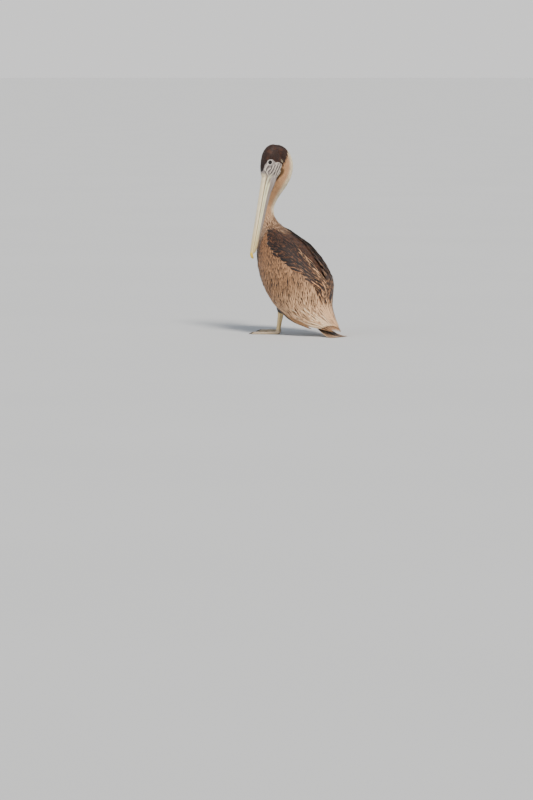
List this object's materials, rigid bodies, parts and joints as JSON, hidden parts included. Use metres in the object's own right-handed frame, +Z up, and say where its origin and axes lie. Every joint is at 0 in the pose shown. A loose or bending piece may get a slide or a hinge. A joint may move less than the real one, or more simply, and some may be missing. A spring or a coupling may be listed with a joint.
{
  "type": "brown pelican",
  "caption": "Life-size still brown pelican standing at rest, neck curved back, long bill hanging down to its left, wings folded, webbed feet flat and tail resting on the floor.",
  "frame": {"origin": "on the floor, in the middle of the bird's bounding box", "axes": "+Z up; the body faces -Y and the bird's own left is +X; the head is turned 67 degrees to its left"},
  "size_m": [0.2538, 0.4368, 0.714],
  "materials": {
    "crown_feathers": "soft matte dark brown",
    "neck_feathers": "soft matte tan",
    "body_feathers": "soft matte grey-brown",
    "mantle_feathers": "matte dark brown with tan edges",
    "wing_feathers": "matte tan and brown",
    "flight_feathers": "matte dark brown",
    "bill_horn": "satin horn",
    "bill_nail": "satin yellow horn",
    "bare_skin": "matte grey skin",
    "eye": "glossy dark"
  },
  "bodies": {
    "root": {"head": "crown_feathers", "neck_upper": "neck_feathers", "neck_middle": "neck_feathers", "neck_lower": "neck_feathers", "trunk": "body_feathers", "tail": "flight_feathers", "eye_left": "eye", "eye_right": "eye", "bill_upper": "bill_horn", "bill_nail": "bill_nail", "bill_lower": "bill_horn", "bill_pouch": "bare_skin", "wing_left_coverts": "wing_feathers", "wing_left_scapulars": "mantle_feathers", "wing_left_primaries": "flight_feathers", "wing_right_coverts": "wing_feathers", "wing_right_scapulars": "mantle_feathers", "wing_right_primaries": "flight_feathers", "thigh_left": "body_feathers", "shank_left": "bare_skin", "foot_left": "bare_skin", "thigh_right": "body_feathers", "shank_right": "bare_skin", "foot_right": "bare_skin"}
  },
  "joints": []
}
